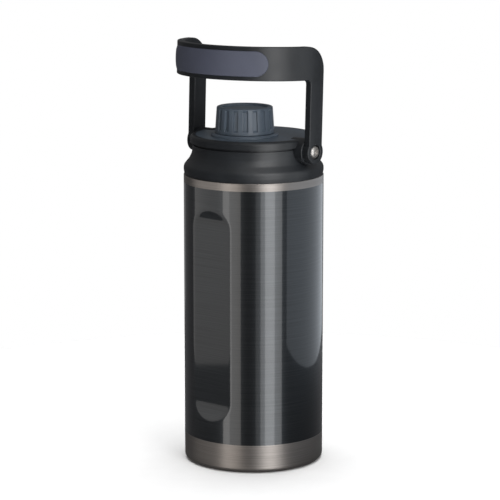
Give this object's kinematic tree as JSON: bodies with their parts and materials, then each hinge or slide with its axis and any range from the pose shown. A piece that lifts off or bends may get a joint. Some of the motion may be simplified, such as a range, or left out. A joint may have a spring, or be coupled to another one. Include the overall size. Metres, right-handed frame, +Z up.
{
  "type": "insulated water jug",
  "caption": "Tall double-wall steel water jug with a screw-in lid, a ribbed screw cap over its drinking spout and a bowed swing handle with a soft grip.",
  "frame": {"origin": "centre of the base, on the surface the jug stands on", "axes": "+Z up along the jug's axis, -Y towards the front with the grip recess and the handle's bow, handle pivots along X"},
  "size_m": [0.1266, 0.1184, 0.3434],
  "materials": {
    "lacquered_steel": "translucent dark lacquer over brushed steel",
    "bare_steel": "brushed",
    "solder": "dull",
    "black_plastic": "matt moulded",
    "slate_plastic": "matt moulded",
    "silicone": "soft",
    "foam": "foamed",
    "grip_rubber": "soft touch",
    "stainless": "turned",
    "washer_plastic": "smooth",
    "brass": "machined"
  },
  "bodies": {
    "vessel": {"outer_shell": "lacquered_steel", "outer_base": "bare_steel", "vacuum_seal": "solder", "inner_liner": "bare_steel", "vacuum_getter": "solder", "shoulder_collar": "black_plastic"},
    "lid_seal": {"lid_gasket": "silicone"},
    "lid": {"lid_body": "black_plastic", "lid_liner": "black_plastic", "lid_foam": "foam", "deck_plate": "slate_plastic", "drinking_spout": "slate_plastic", "spout_seal": "silicone", "right_pivot_screw": "stainless", "left_pivot_screw": "stainless", "right_pivot_sleeve": "stainless", "left_pivot_sleeve": "stainless", "right_friction_washer": "washer_plastic", "left_friction_washer": "washer_plastic", "right_threaded_insert": "brass", "left_threaded_insert": "brass"},
    "cap_seal": {"cap_gasket": "silicone"},
    "cap": {"spout_cap": "slate_plastic", "cap_liner": "slate_plastic"},
    "grip_handle": {"handle": "black_plastic", "grip_pad": "grip_rubber"}
  },
  "joints": [
    {"name": "lid_lift", "type": "slide", "parent": "vessel", "child": "lid_seal", "axis": [0, 0, 1], "range_m": [0, 0.024]},
    {"name": "lid_turn", "type": "hinge", "parent": "lid_seal", "child": "lid", "pos_m": [0, 0, 0.257], "axis": [0, 0, 1], "range_deg": [0, 720]},
    {"name": "cap_lift", "type": "slide", "parent": "lid", "child": "cap_seal", "axis": [0, 0, 1], "range_m": [0, 0.016]},
    {"name": "cap_turn", "type": "hinge", "parent": "cap_seal", "child": "cap", "pos_m": [0, -0.0115, 0.285], "axis": [0, 0, 1], "range_deg": [0, 720]},
    {"name": "handle_swing", "type": "hinge", "parent": "lid", "child": "grip_handle", "pos_m": [0, 0, 0.2576], "axis": [1, 0, 0], "range_deg": [-178, 92]}
  ],
  "couplings": [
    {"joint": "lid_lift", "follows": "lid_turn", "m_per_rad": 0.0019099},
    {"joint": "cap_lift", "follows": "cap_turn", "m_per_rad": 0.0012732}
  ]
}
